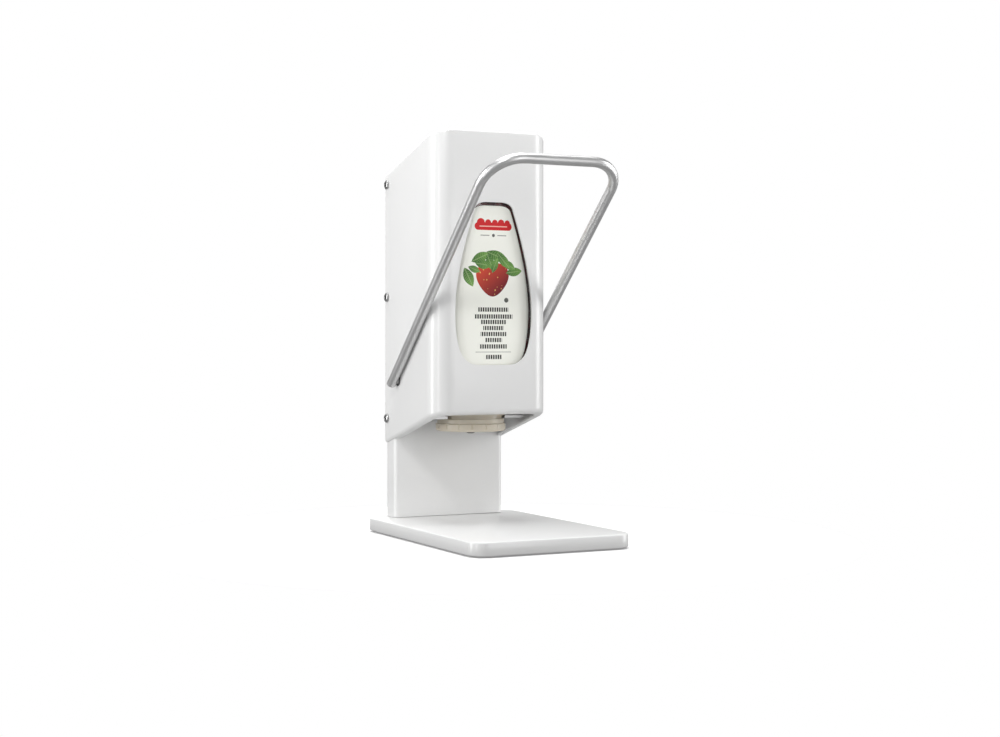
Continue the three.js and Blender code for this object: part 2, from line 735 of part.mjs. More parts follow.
const HUB_RADIUS = 10;
const BOSS_RADIUS = 6.5;
const FORK_HALF = 8.4;
const FORK_REACH = 46;
const SLOT_PLAY = 1.2; // how far the rollers come in towards the pivot at mid travel
const PEG = [-17, -4.2]; // from the pivot, along and across the crank
const GRUB_RADIUS = 1.5;

/** Crank in its own frame, pivot at the origin and pointing to -Y, then turned up to rest. */
function crankArm(sign) {
  const along = (a, b) => [sign * a, sign * b].sort((p, q) => p - q);
  const [from, to] = along(...CRANK_X);
  const web = block([from, -FORK_REACH, -FORK_HALF], [to, 0, FORK_HALF]);
  const hub = cylinder('x', HUB_RADIUS, from, to, [0, 0], 28);
  const boss = cylinder('x', BOSS_RADIUS, ...along(STUB_END, CRANK_X[1]), [0, 0], 24);
  const peg = cylinder('x', 1.5, ...along(STUB_END + 1, CRANK_X[1]), PEG, 12);
  const slotEnd = -CRANK_REACH + SLOT_PLAY;
  const slotHalf = ROLLER_RADIUS + 0.4;
  const slot = join(
    cylinder('x', slotHalf, ...along(40, 70), [slotEnd, 0], 24),
    block([from - 9, -FORK_REACH - 9, -slotHalf], [to + 9, slotEnd, slotHalf]),
  );
  const bore = cylinder('x', STUB_RADIUS + FIT_GAP, ...along(40, 70), [0, 0], 24);
  const middle = sign * (CRANK_X[0] + CRANK_X[1]) / 2;
  const grubHole = cylinder('y', GRUB_RADIUS + FIT_GAP, 0, 20, [middle, 0], 12);
  const crank = cut(join(web, hub, boss, peg), slot, bore, grubHole);
  return atPivot(crank);
}

function atPivot(body) {
  const geometry = geometryOf(body).rotateX(-CRANK_REST).translate(0, PIVOT_Y, PIVOT_Z);
  return solid(geometry);
}

function grubScrew(sign) {
  const middle = sign * (CRANK_X[0] + CRANK_X[1]) / 2;
  const screw = cylinder('y', GRUB_RADIUS, STUB_RADIUS + 0.4, HUB_RADIUS - 0.3, [middle, 0], 12);
  const socket = cylinder('y', 0.8, HUB_RADIUS - 2, HUB_RADIUS + 1, [middle, 0], 6);
  return atPivot(cut(screw, socket));
}

const SPRING_WIRE = 0.8;
const SPRING_COIL = PIVOT_Z - SPRING_ANCHOR_Z;
const SPRING_TURNS = 3;
const SPRING_LAST = 0.26; // how far the coil runs past its last full turn, radians
const SPRING_SPAN = 5;

/** Torsion spring: hooked into the column behind, wound round the boss, under the peg. */
class SpringPath extends THREE.Curve {
  constructor(sign) {
    super();
    const points = [];
    const coil = (angle) => {
      const across = SPRING_ANCHOR_X + (SPRING_SPAN * angle) / (2 * Math.PI * SPRING_TURNS);
      return new THREE.Vector3(
        sign * across,
        PIVOT_Y - SPRING_COIL * Math.sin(angle),
        PIVOT_Z - SPRING_COIL * Math.cos(angle),
      );
    };
    for (const y of [114, 107, 102]) {
      points.push(new THREE.Vector3(sign * SPRING_ANCHOR_X, y, SPRING_ANCHOR_Z));
    }
    const steps = SPRING_TURNS * 10;
    for (let i = 0; i <= steps; i += 1) points.push(coil((i / steps) * 2 * Math.PI * SPRING_TURNS));
    const end = coil(2 * Math.PI * SPRING_TURNS + SPRING_LAST);
    for (const run of [6, 13, 20]) {
      const tip = end.clone();
      tip.y -= run * Math.cos(SPRING_LAST);
      tip.z += run * Math.sin(SPRING_LAST);
      points.push(tip);
    }
    this.route = new THREE.CatmullRomCurve3(points, false, 'centripetal');
  }

  getPoint(t, target = new THREE.Vector3()) {
    return this.route.getPoint(t, target);
  }
}

function returnSpring(sign) {
  const coil = new THREE.ExtrudeGeometry(circle(SPRING_WIRE), {
    extrudePath: new SpringPath(sign),
    steps: 54,
    curveSegments: 3,
  });
  return solid(coil);
}

place('lever_bail', leverBail(), STEEL);
for (const [side, sign] of SIDES) {
  place(`pivot_bush_${side}`, pivotBush(sign), DARK);
  place(`crank_arm_${side}`, crankArm(sign), STEEL);
  place(`crank_grub_screw_${side}`, grubScrew(sign), STEEL);
  place(`return_spring_${side}`, returnSpring(sign), STEEL);
}

// ---------------------------------------------------------------- bottle

// Half-width and half-depth up the bottle; its front stays upright at BOTTLE_FRONT.
const BOTTLE_STATIONS = [
  [BOTTLE_SEAT, 36, 36],
  [BOTTLE_SEAT + 8, 45, 44],
  [172, 51, 47.6],
  [222, 53, 49],
  [262, 49.6, 47.6],
  [300, 42, 43.5],
  [345, 31, 36],
];
const BOTTLE_TOP = 370;
const SQUARENESS = 5; // exponent of the bottle's rounded-square section
const RING_SIDES = 36;
const BODY_RINGS = 10;
const DOME_RINGS = 4;
const DOME_SWEEP = 1.48; // radians, from the upright side to the flat of the bottle's end
const DOME_FLATNESS = 0.72;
const SHOULDER_RISE = 30; // where the round shoulder has become the full section

/** One level ring of the bottle, grown outwards by an offset. */
function ring(z, half, depth, middle, offset) {
  const points = [];
  for (let i = 0; i < RING_SIDES; i += 1) {
    const angle = (i / RING_SIDES) * 2 * Math.PI;
    const [c, s] = [Math.cos(angle), Math.sin(angle)];
    const reach = (Math.abs(c) ** SQUARENESS + Math.abs(s) ** SQUARENESS) ** (-1 / SQUARENESS);
    points.push([(half + offset) * c * reach, middle + (depth + offset) * s * reach, z]);
  }
  return points;
}

/** The bottle's body as a closed skin of level rings, from its shoulder to a domed end. */
function bottleBody(offset) {
  const last = BOTTLE_STATIONS.at(-1);
  const heights = BOTTLE_STATIONS.map(([z]) => z);
  const spine = new THREE.CatmullRomCurve3(
    BOTTLE_STATIONS.map(([z, half, depth]) => new THREE.Vector3(half, depth, z)),
  );
  const rings = [];
  for (let i = 0; i <= BODY_RINGS; i += 1) {
    const { x: half, y: depth, z } = spine.getPoint(i / BODY_RINGS);
    const low = Math.max(z, heights[0]) - (i === 0 ? offset : 0);
    const blend = Math.min(1, (z - heights[0]) / SHOULDER_RISE);
    const front = BOTTLE_FRONT + depth;
    rings.push(ring(low, half, depth, THREE.MathUtils.lerp(AXIS_Y, front, blend), offset));
  }
  const dome = BOTTLE_TOP - last[0];
  for (let i = 1; i <= DOME_RINGS; i += 1) {
    const angle = (i / DOME_RINGS) * DOME_SWEEP;
    const shrink = 1 - (1 - Math.cos(angle)) * DOME_FLATNESS;
    rings.push(
      ring(
        last[0] + (dome + offset) * Math.sin(angle),
        last[1] * shrink, last[2] * shrink, BOTTLE_FRONT + last[2], offset,
      ),
    );
  }
  return skin(rings);
}

/** Closes a stack of equal rings with a fan at each end. */
function skin(rings) {
  const centres = [rings[0], rings.at(-1)].map((loop) =>
    [0, 1, 2].map((k) => loop.reduce((sum, p) => sum + p[k], 0) / loop.length),
  );
  const positions = [...rings.flat(), ...centres].flat();
  const count = rings[0].length;
  const [first, last] = [rings.length * count, rings.length * count + 1];
  const index = [];
  for (let i = 0; i < count; i += 1) {
    const next = (i + 1) % count;
    for (let r = 0; r + 1 < rings.length; r += 1) {
      const [a, b] = [r * count + i, r * count + next];
      index.push(a, b, b + count, a, b + count, a + count);
    }
    const top = (rings.length - 1) * count;
    index.push(first, next, i, last, top + i, top + next);
  }
  const geometry = new THREE.BufferGeometry();
  geometry.setAttribute('position', new THREE.Float32BufferAttribute(positions, 3));
  geometry.setIndex(index);
  return solid(geometry);
}

const NECK_BOTTOM = 128.5;
const JAM_LEVEL = 352;
const LABEL_FILM = 0.3;
const LABEL_MARGIN = [0.6, 3.2, 3]; // past the window at its sides, short of its top, below it

function bottle() {
  const neck = cylinder('z', NECK_RADIUS, NECK_BOTTOM, BOTTLE_SEAT + 2, ON_AXIS, 40);
  const throat = cylinder(
    'z', NECK_RADIUS - BOTTLE_WALL, NECK_BOTTOM - 1, BOTTLE_SEAT + 4, ON_AXIS, 40,
  );
  return cut(join(bottleBody(0), neck), bottleBody(-BOTTLE_WALL), throat);
}

function jamFill() {
  const inset = BOTTLE_WALL + FIT_GAP;
  const stream = cylinder(
    'z', NECK_RADIUS - inset, NECK_BOTTOM + 1, BOTTLE_SEAT + 4, ON_AXIS, 40,
  );
  const level = block([-BASE_WIDTH, -BASE_WIDTH, JAM_LEVEL], [BASE_WIDTH, BASE_WIDTH, HOOD_TOP]);
  return cut(join(bottleBody(-inset), stream), level);
}

function bottleLabel() {
  const film = cut(bottleBody(FIT_GAP + LABEL_FILM), bottleBody(FIT_GAP));
  const outline = solid(frontal(teardrop(...LABEL_MARGIN), -WINDOW_DEPTH, AXIS_Y - 20));
  return film.intersect(outline);
}

place('bottle', bottle(), { color: 0x8a1522, roughness: 0.15, metalness: 0 });
place('bottle_label', bottleLabel(), { color: 0xe6e6dc, roughness: 0.55, metalness: 0 });
place('jam_fill', jamFill(), { color: 0x6d0f1b, roughness: 0.3, metalness: 0 });

export default dispenser;
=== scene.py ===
"""Looks of the fruit spread dispenser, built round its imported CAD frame. Metres, +Z up."""
import json
import math

import bmesh
import bpy
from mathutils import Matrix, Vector, noise


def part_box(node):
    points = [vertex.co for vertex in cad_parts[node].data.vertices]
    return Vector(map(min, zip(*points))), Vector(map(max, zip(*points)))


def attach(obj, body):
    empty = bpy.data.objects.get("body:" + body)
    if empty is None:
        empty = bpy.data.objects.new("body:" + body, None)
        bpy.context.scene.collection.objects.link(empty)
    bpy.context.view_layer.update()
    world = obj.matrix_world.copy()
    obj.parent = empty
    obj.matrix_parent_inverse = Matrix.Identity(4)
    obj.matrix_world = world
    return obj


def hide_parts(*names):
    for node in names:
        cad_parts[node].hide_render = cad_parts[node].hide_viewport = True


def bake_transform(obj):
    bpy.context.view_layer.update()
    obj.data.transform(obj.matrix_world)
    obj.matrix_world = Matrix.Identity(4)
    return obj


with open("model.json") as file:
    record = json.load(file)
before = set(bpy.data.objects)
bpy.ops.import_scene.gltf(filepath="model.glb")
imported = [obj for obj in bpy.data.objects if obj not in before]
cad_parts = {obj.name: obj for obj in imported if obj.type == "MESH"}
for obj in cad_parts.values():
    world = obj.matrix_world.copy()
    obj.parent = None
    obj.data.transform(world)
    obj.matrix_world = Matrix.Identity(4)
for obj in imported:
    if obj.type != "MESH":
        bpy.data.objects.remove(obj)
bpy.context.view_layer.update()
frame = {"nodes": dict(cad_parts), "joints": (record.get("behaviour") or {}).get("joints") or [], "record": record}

MM = 0.001
SIDES = (("left", -1), ("right", 1))

nodes = frame["nodes"]
slots = {part["node"]: part["material_slot"] for part in frame["record"]["subparts"]}
joints = {joint["name"]: joint for joint in frame["joints"]}
pivot = Vector(joints["lever_pivot"]["pos_m"])


# ------------------------------------------------------------------ node materials


class Surface:
    """One procedural material. Methods return output sockets; lengths are in metres."""

    def __init__(self, name):
        self.material = bpy.data.materials.new(name)
        self.material.use_nodes = True
        self.tree = self.material.node_tree
        self.shader = self.tree.nodes["Principled BSDF"]
        self.place = self.node("ShaderNodeTexCoord").outputs["Object"]

    def node(self, kind, **settings):
        made = self.tree.nodes.new(kind)
        for key, value in settings.items():
            setattr(made, key, value)
        return made

    def feed(self, socket, value):
        if isinstance(value, bpy.types.NodeSocket):
            self.tree.links.new(value, socket)
        elif isinstance(value, tuple) and len(value) == 3 and socket.type == "RGBA":
            socket.default_value = (*value, 1)
        else:
            socket.default_value = value

    def set(self, **inputs):
        """Feeds the shader's inputs; base_color stands for Base Color and so on."""
        names = {socket.name.lower().replace(" ", "_"): socket for socket in self.shader.inputs}
        for key, value in inputs.items():
            self.feed(names[key], value)

    def math(self, operation, *values):
        made = self.node("ShaderNodeMath", operation=operation)
        for socket, value in zip(made.inputs, values):
            self.feed(socket, value)
        return made.outputs[0]

    def vector(self, operation, *values):
        made = self.node("ShaderNodeVectorMath", operation=operation)
        for socket, value in zip(made.inputs, values):
            self.feed(socket, value)
        return made.outputs["Vector"]

    def axes(self, vector=None):
        """X, Y and Z of a vector, or of the place on the piece."""
        made = self.node("ShaderNodeSeparateXYZ")
        self.feed(made.inputs[0], vector or self.place)
        return made.outputs

    def noise(self, size, detail=2.0, roughness=0.5, stretch=(1, 1, 1)):
        """Fractal noise from 0 to 1 whose bumps are about size across."""
        made = self.node("ShaderNodeTexNoise")
        self.feed(made.inputs["Vector"], self.vector("MULTIPLY", self.place, stretch))
        made.inputs["Scale"].default_value = 1 / size
        made.inputs["Detail"].default_value = detail
        made.inputs["Roughness"].default_value = roughness
        return made.outputs["Fac"]

    def cells(self, size, feature="F1", vector=None):
        """Distance from the nearest of many scattered points about size apart."""
        made = self.node("ShaderNodeTexVoronoi", feature=feature)
        self.feed(made.inputs["Vector"], vector or self.place)
        made.inputs["Scale"].default_value = 1 / size
        return made.outputs["Distance"]

    def span(self, value, low, high, start=0.0, end=1.0):
        """value taken from low..high to start..end, held at both."""
        made = self.node("ShaderNodeMapRange")
        for socket, number in zip(made.inputs, (value, low, high, start, end)):
            self.feed(socket, number)
        return made.outputs[0]

    def mix(self, factor, first, second):
        made = self.node("ShaderNodeMix", data_type="RGBA")
        for key, value in ((0, factor), (6, first), (7, second)):
            self.feed(made.inputs[key], value)
        return made.outputs[2]

    def bump(self, height, depth, strength=1.0, under=None):
        """Relief whose full height is depth, on top of another relief if one is given."""
        made = self.node("ShaderNodeBump")
        made.inputs["Strength"].default_value = strength
        made.inputs["Distance"].default_value = depth
        self.feed(made.inputs["Height"], height)
        if under:
            self.feed(made.inputs["Normal"], under)
        return made.outputs[0]

    def rounded_edges(self, radius):
        """Normal rounded over every sharp edge by radius, as a coat of paint rounds it."""
        made = self.node("ShaderNodeBevel", samples=4)
        made.inputs["Radius"].default_value = radius
        return made.outputs[0]


def white_coat():
    """Satin powder coat: fine orange peel, faint clouding and a little handling haze."""
    s = Surface("white_powder_coat")
    cloud = s.noise(0.09, detail=3)
    fleck = s.noise(0.0011, detail=1)
    tone = s.mix(cloud, (0.755, 0.757, 0.757), (0.785, 0.785, 0.778))
    s.set(
        base_color=s.mix(s.span(fleck, 0.62, 0.8, 0, 0.35), tone, (0.72, 0.72, 0.71)),
        roughness=s.span(s.noise(0.03, detail=4), 0.3, 0.7, 0.3, 0.4),
        normal=s.bump(s.noise(0.0016, detail=2), 0.00005, 0.3, s.rounded_edges(0.0004)),
        coat_weight=0.5,
        coat_roughness=0.14,
    )
    return s.material


def turned_steel():
    """Stainless screws and nuts: fine turning marks and soft stains."""
    s = Surface("turned_stainless_steel")
    grain = s.noise(0.00035, detail=3, roughness=0.6)
    stain = s.noise(0.004, detail=3)
    s.set(
        base_color=s.mix(stain, (0.34, 0.34, 0.345), (0.48, 0.48, 0.475)),
        metallic=1.0,
        roughness=s.span(grain, 0.3, 0.7, 0.16, 0.3),
        normal=s.bump(grain, 0.00002, 0.5),
    )
    return s.material


def satin_bar():
    """Stainless bar with a satin rub and faint smudges from hands."""
    s = Surface("satin_stainless_bar")
    smudge = s.noise(0.03, detail=3)
    s.set(
        base_color=s.mix(smudge, (0.64, 0.64, 0.645), (0.70, 0.70, 0.695)),
        metallic=1.0,
        roughness=s.span(smudge, 0.3, 0.7, 0.36, 0.43),
        normal=s.bump(smudge, 0.0002, 0.1),
    )
    return s.material


def brushed_steel():
    """Brushed stainless sheet with long fine scratches along the piece's height."""
    s = Surface("brushed_stainless_sheet")
    lines = s.noise(0.0004, detail=3, roughness=0.7, stretch=(1, 1, 0.04))
    s.set(
        base_color=s.mix(lines, (0.52, 0.52, 0.525), (0.68, 0.68, 0.675)),
        metallic=1.0,
        roughness=s.span(lines, 0.25, 0.75, 0.24, 0.42),
        anisotropic=0.4,
        normal=s.bump(lines, 0.00002, 0.4),
    )
    return s.material


def spring_wire():
    """Oiled drawn wire."""
    s = Surface("oiled_spring_wire")
    drawn = s.noise(0.0006, detail=3)
    s.set(
        base_color=s.mix(drawn, (0.33, 0.33, 0.34), (0.5, 0.5, 0.5)),
        metallic=1.0,
        roughness=s.span(drawn, 0.3, 0.7, 0.22, 0.34),
        coat_weight=0.3,
        coat_roughness=0.1,
        normal=s.bump(drawn, 0.00002, 0.4),
    )
    return s.material


def cream_plastic():
    """Moulded cream polypropylene, slightly translucent, with faint flow marks."""
    s = Surface("cream_moulded_plastic")
    flow = s.noise(0.02, detail=4, stretch=(1, 1, 3))
    fine = s.noise(0.0008, detail=2)
    s.set(
        base_color=s.mix(flow, (0.56, 0.50, 0.40), (0.65, 0.60, 0.50)),
        roughness=s.span(flow, 0.3, 0.7, 0.3, 0.42),
        subsurface_weight=0.25,
        subsurface_radius=(0.004, 0.003, 0.002),
        subsurface_scale=1.0,
        normal=s.bump(fine, 0.00004, 0.3),
    )
    return s.material


def nylon():
    """Natural nylon with fine tool marks."""
    s = Surface("machined_natural_nylon")
    cut = s.noise(0.0005, detail=2, stretch=(1, 1, 6))
    s.set(
        base_color=s.mix(cut, (0.70, 0.70, 0.66), (0.79, 0.79, 0.75)),
        roughness=s.span(cut, 0.3, 0.7, 0.42, 0.56),
        subsurface_weight=0.15,
        subsurface_radius=(0.003, 0.003, 0.002),
        normal=s.bump(cut, 0.00003, 0.4),
    )
    return s.material


def dark_plastic():
    """Dark grey bearing plastic with a fine grain."""
    s = Surface("bearing_plastic")
    grain = s.noise(0.0006, detail=3)
    s.set(
        base_color=s.mix(grain, (0.06, 0.061, 0.064), (0.1, 0.101, 0.104)),
        roughness=s.span(grain, 0.3, 0.7, 0.38, 0.52),
        normal=s.bump(grain, 0.00004, 0.4),
    )
    return s.material


def rubber():
    """Black moulded rubber, a little dusty."""
    s = Surface("foot_rubber")
    grain = s.noise(0.0009, detail=4, roughness=0.65)
    s.set(
        base_color=s.mix(grain, (0.012, 0.012, 0.012), (0.04, 0.04, 0.038)),
        roughness=s.span(grain, 0.3, 0.7, 0.68, 0.85),
        sheen_weight=0.15,
        sheen_roughness=0.4,
        normal=s.bump(grain, 0.00008, 0.5),
    )
    return s.material


def silicone():
    """Dark soft silicone with a faint haze."""
    s = Surface("soft_silicone")
    haze = s.noise(0.004, detail=3)
    s.set(
        base_color=s.mix(haze, (0.06, 0.055, 0.05), (0.1, 0.092, 0.085)),
        roughness=s.span(haze, 0.3, 0.7, 0.5, 0.62),
        subsurface_weight=0.1,
        subsurface_radius=(0.002, 0.002, 0.002),
        normal=s.bump(s.noise(0.001), 0.00004, 0.4),
    )
    return s.material


def clear_bottle():
    """Clear blown bottle whose wall is a little uneven."""
    s = Surface("clear_squeeze_bottle")
    wave = s.noise(0.025, detail=2)
    s.set(
        base_color=s.mix(wave, (0.97, 0.96, 0.95), (1.0, 0.99, 0.98)),
        roughness=s.span(s.noise(0.01, detail=3), 0.3, 0.7, 0.04, 0.1),
        transmission_weight=1.0,
        ior=1.46,
        normal=s.bump(wave, 0.0004, 0.25),
    )
    return s.material


def fruit_spread():
    """Dark red spread with paler pieces of fruit, seeds and a wet gloss."""
    s = Surface("fruit_spread")
    pieces = s.cells(0.009, feature="SMOOTH_F1")
    pulp = s.noise(0.006, detail=5, roughness=0.6)
    seed = s.span(s.cells(0.004), 0.08, 0.12, 1, 0)
    deep = s.mix(pulp, (0.045, 0.001, 0.004), (0.11, 0.003, 0.009))
    fruit = s.mix(s.span(pieces, 0.1, 0.45, 1, 0), deep, (0.2, 0.008, 0.014))
    s.set(
        base_color=s.mix(s.math("MULTIPLY", seed, 0.5), fruit, (0.32, 0.13, 0.03)),
        roughness=s.span(pulp, 0.3, 0.7, 0.12, 0.3),
        subsurface_weight=0.2,
        subsurface_radius=(0.004, 0.0006, 0.0004),
        coat_weight=0.5,
        coat_roughness=0.05,
        normal=s.bump(s.math("SUBTRACT", pulp, pieces), 0.0012, 0.5),
    )
    return s.material


# ------------------------------------------------------------------ label artwork

LABEL_CENTRE = 1.5 * MM  # the artwork's middle, across the label
GREY_INK = (0.12, 0.12, 0.115)
BERRY = (0.5 * MM, 261 * MM, 22.6 * MM, 17.2 * MM)  # centre x and z, half width, half height
BAND_HEIGHT = 314.4 * MM
BAND_HALF_HEIGHT = 3.9 * MM
BAND_HALF_WIDTH = 17 * MM
# place across the band in pitches of CROWN_PITCH, and radius in mm, of each round of its top
CROWNS = ((-2.6, 4.4), (-1.1, 3.4), (0.3, 3.2), (1.6, 3.6), (2.9, 3))
CROWN_PITCH = 5.4 * MM
SMALL_RULE_HEIGHT = 305.3 * MM
# centre x and z, half length, half width and tilt of each leaf, mm and degrees
LEAVES = (
    (-26, 263, 10.5, 5.2, -64),
    (-20, 271, 7, 3.4, -20),
    (25, 269, 9.5, 4.4, 8),
    (19, 275.5, 8, 4, -28),
    (-13, 283, 11, 5.0, 24),
    (-10, 276, 9, 4.6, -8),
    (6, 284.5, 13, 5.2, -20),
    (13, 280, 10, 4.6, -48),
    (-2, 278, 9, 4.4, -66),
    (3, 275, 8, 3.6, 68),
)
DASH_PITCH = 2.6 * MM
DASH_SHARE = 0.68
DASH_HALF_HEIGHT = 2.15 * MM
# height and half width of each row of dashes, mm
ROWS = (
    (230.7, 17), (223.7, 21.5), (218.2, 14.6), (212.1, 11.5), (206.1, 14.4), (200.1, 9.7),
    (193.6, 15), (183, 9),
)


class Artwork(Surface):
    """Flat print in the label's own plane, x across and z up, laid over one after another."""

    def __init__(self, name):
        super().__init__(name)
        self.x, _, self.z = self.axes()

    def within(self, value, middle, half):
        """1 where a value is no further than half from middle."""
        return self.math("COMPARE", value, middle, half)

    def bar(self, x, z, half_width, half_height):
        """Mask of an upright rectangle."""
        across = self.within(self.x, x, half_width)
        return self.math("MULTIPLY", across, self.within(self.z, z, half_height))

    def local(self, x, z, half_width, half_height, tilt=0):
        """Coordinates that run from -1 to 1 across a shape, turned by tilt degrees."""
        made = self.node("ShaderNodeMapping", vector_type="TEXTURE")
        made.inputs["Location"].default_value = (x, 0, z)
        made.inputs["Rotation"].default_value = (0, math.radians(-tilt), 0)
        made.inputs["Scale"].default_value = (half_width, 1, half_height)
        self.feed(made.inputs["Vector"], self.place)
        across, _, up = self.axes(made.outputs[0])
        return across, up

    def disc(self, x, z, radius):
        """Mask of a round spot."""
        across, up = self.local(x, z, radius, radius)
        square = self.math("ADD", self.math("POWER", across, 2), self.math("POWER", up, 2))
        return self.math("LESS_THAN", square, 1)

    def leaf(self, x, z, half_length, half_width, tilt):
        """A pointed leaf's mask and its colour, with a pale midrib and side veins."""
        along, off = self.local(x, z, half_length, half_width, tilt)
        off = self.math("ABSOLUTE", off)
        mask = self.math("LESS_THAN", self.math("ADD", off, self.math("POWER", along, 2)), 1)
        slant = self.math("SUBTRACT", self.math("MULTIPLY", along, 5), off)
        vein = self.math("LESS_THAN", self.math("FRACT", slant), 0.16)
        rib = self.math("LESS_THAN", off, 0.09)
        pale = self.math("MULTIPLY", self.math("MAXIMUM", rib, vein), 0.55)
        green = self.mix(self.span(along, -1, 1), (0.02, 0.10, 0.015), (0.15, 0.34, 0.06))
        return mask, self.mix(pale, green, (0.35, 0.5, 0.2))

    def berry(self):
        """A heart-shaped berry's mask and its colour, with seeds and a soft highlight."""
        across, up = self.local(*BERRY)
        round_part = self.math("SUBTRACT", 1, self.math("POWER", up, 2))
        taper = self.math("POWER", self.math("MULTIPLY_ADD", up, 0.25, 0.78), 2)
        outline = self.math("MULTIPLY", round_part, taper)
        mask = self.math("GREATER_THAN", outline, self.math("POWER", across, 2))
        lit = self.math("ADD", self.math("MULTIPLY", across, 0.8), self.math("MULTIPLY", up, -0.7))
        red = self.mix(self.span(lit, -1, 0.8), (0.62, 0.055, 0.02), (0.15, 0.003, 0.01))
        flat = self.vector("MULTIPLY", self.place, (1, 0, 0.8))
        seed = self.math("LESS_THAN", self.cells(0.0042, vector=flat), 0.16)
        return mask, self.mix(seed, red, (0.75, 0.45, 0.12))

    def dashes(self, z, half_width, shift):
        """A row of upright dashes, moved along by a share of their pitch."""
        along = self.math("MULTIPLY_ADD", self.x, 1 / DASH_PITCH, shift)
        stroke = self.math("LESS_THAN", self.math("FRACT", along), DASH_SHARE)
        row = self.bar(LABEL_CENTRE, z, half_width, DASH_HALF_HEIGHT)
        return self.math("MULTIPLY", stroke, row)


def label_film():
    """Cream film printed with a berry, leaves, a red band and rows of plain dashes."""
    s = Artwork("printed_label_film")
    tint = s.noise(0.03, detail=3)
    art = s.mix(tint, (0.89, 0.895, 0.82), (0.91, 0.915, 0.86))

    band = s.bar(LABEL_CENTRE, BAND_HEIGHT, BAND_HALF_WIDTH, BAND_HALF_HEIGHT)
    for _, side in SIDES:
        end = s.disc(LABEL_CENTRE + side * BAND_HALF_WIDTH, BAND_HEIGHT, BAND_HALF_HEIGHT)
        band = s.math("MAXIMUM", band, end)
    for step, radius in CROWNS:
        crown = s.disc(LABEL_CENTRE + step * CROWN_PITCH, BAND_HEIGHT + 3.6 * MM, radius * MM)
        band = s.math("MAXIMUM", band, crown)
    inset = s.bar(LABEL_CENTRE, BAND_HEIGHT, 15.5 * MM, 0.5 * MM)
    art = s.mix(band, art, (0.6, 0.008, 0.012))
    art = s.mix(inset, art, (0.86, 0.5, 0.44))

    for _, side in SIDES:
        rule = s.bar(LABEL_CENTRE + side * 9.5 * MM, SMALL_RULE_HEIGHT, 5 * MM, 0.35 * MM)
        art = s.mix(rule, art, GREY_INK)
    art = s.mix(s.disc(LABEL_CENTRE, SMALL_RULE_HEIGHT, 1.6 * MM), art, GREY_INK)

    stalk = s.bar(-14 * MM, 272.5 * MM, 12 * MM, 0.4 * MM)
    art = s.mix(stalk, art, (0.12, 0.2, 0.06))
    mask, colour = s.berry()
    art = s.mix(mask, art, colour)
    for x, z, length, width, tilt in LEAVES:
        mask, colour = s.leaf(x * MM, z * MM, length * MM, width * MM, tilt)
        art = s.mix(mask, art, colour)

    art = s.mix(s.disc(16 * MM, 240.3 * MM, 2.4 * MM), art, (0.1, 0.1, 0.09))
    for i, (z, half) in enumerate(ROWS):
        row = s.dashes(z * MM, half * MM, 0.37 * i)
        art = s.mix(row, art, (0.03, 0.03, 0.028))
    rule = s.bar(LABEL_CENTRE, 188 * MM, 20 * MM, 0.3 * MM)
    art = s.mix(rule, art, (0.35, 0.35, 0.33))
    s.set(
        base_color=art,
        roughness=s.span(tint, 0.3, 0.7, 0.36, 0.46),
        specular_ior_level=0.35,
        normal=s.bump(s.noise(0.0012, detail=2), 0.00003, 0.3),
    )
    return s.material


def floor_paint():
    """Pale matt table top."""
    s = Surface("studio_floor")
    tone = s.mix(s.noise(0.6, detail=2), (0.92, 0.92, 0.92), (0.94, 0.94, 0.94))
    s.set(
        base_color=tone,
        roughness=s.span(s.noise(0.2, detail=3), 0.3, 0.7, 0.6, 0.7),
        specular_ior_level=0.2,
    )
    return s.material


finishes = {
    "white_coat": white_coat(),
    "lever_steel": satin_bar(),
    "screw_steel": turned_steel(),
    "bracket_steel": brushed_steel(),
    "spring_steel": spring_wire(),
    "cream_plastic": cream_plastic(),
    "nylon": nylon(),
    "bush_plastic": dark_plastic(),
    "seal_silicone": silicone(),
    "foot_rubber": rubber(),
    "clear_bottle": clear_bottle(),
    "label_film": label_film(),
    "fruit_spread": fruit_spread(),
}


# ------------------------------------------------------------------ carried-over nodes

WELD = 0.01 * MM
SMOOTH_ANGLE = math.radians(32)
FLAT_ANGLE = math.radians(0.3)


def smoothing_group():
    """Geometry nodes that weld a faceted solid and shade it smooth below SMOOTH_ANGLE."""
    tree = bpy.data.node_groups.new("weld_and_smooth", "GeometryNodeTree")
    for direction in ("INPUT", "OUTPUT"):
        tree.interface.new_socket("Geometry", in_out=direction, socket_type="NodeSocketGeometry")
    entry = tree.nodes.new("NodeGroupInput")
    weld = tree.nodes.new("GeometryNodeMergeByDistance")
    weld.inputs["Distance"].default_value = WELD
    bare = tree.nodes.new("GeometryNodeRemoveAttribute")
    bare.inputs["Name"].default_value = "custom_normal"
    faces = tree.nodes.new("GeometryNodeSetShadeSmooth")
    edges = tree.nodes.new("GeometryNodeSetShadeSmooth")
    edges.domain = "EDGE"
    angle = tree.nodes.new("GeometryNodeInputMeshEdgeAngle")
    gentle = tree.nodes.new("FunctionNodeCompare")
    gentle.operation = "LESS_THAN"
    gentle.inputs[1].default_value = SMOOTH_ANGLE
    leave = tree.nodes.new("NodeGroupOutput")
    tree.links.new(entry.outputs[0], bare.inputs["Geometry"])
    tree.links.new(bare.outputs["Geometry"], weld.inputs["Geometry"])
    tree.links.new(weld.outputs["Geometry"], faces.inputs["Geometry"])
    tree.links.new(faces.outputs["Geometry"], edges.inputs["Geometry"])
    tree.links.new(angle.outputs["Unsigned Angle"], gentle.inputs[0])
    tree.links.new(gentle.outputs["Result"], edges.inputs["Shade Smooth"])
    tree.links.new(edges.outputs["Geometry"], leave.inputs[0])
    return tree


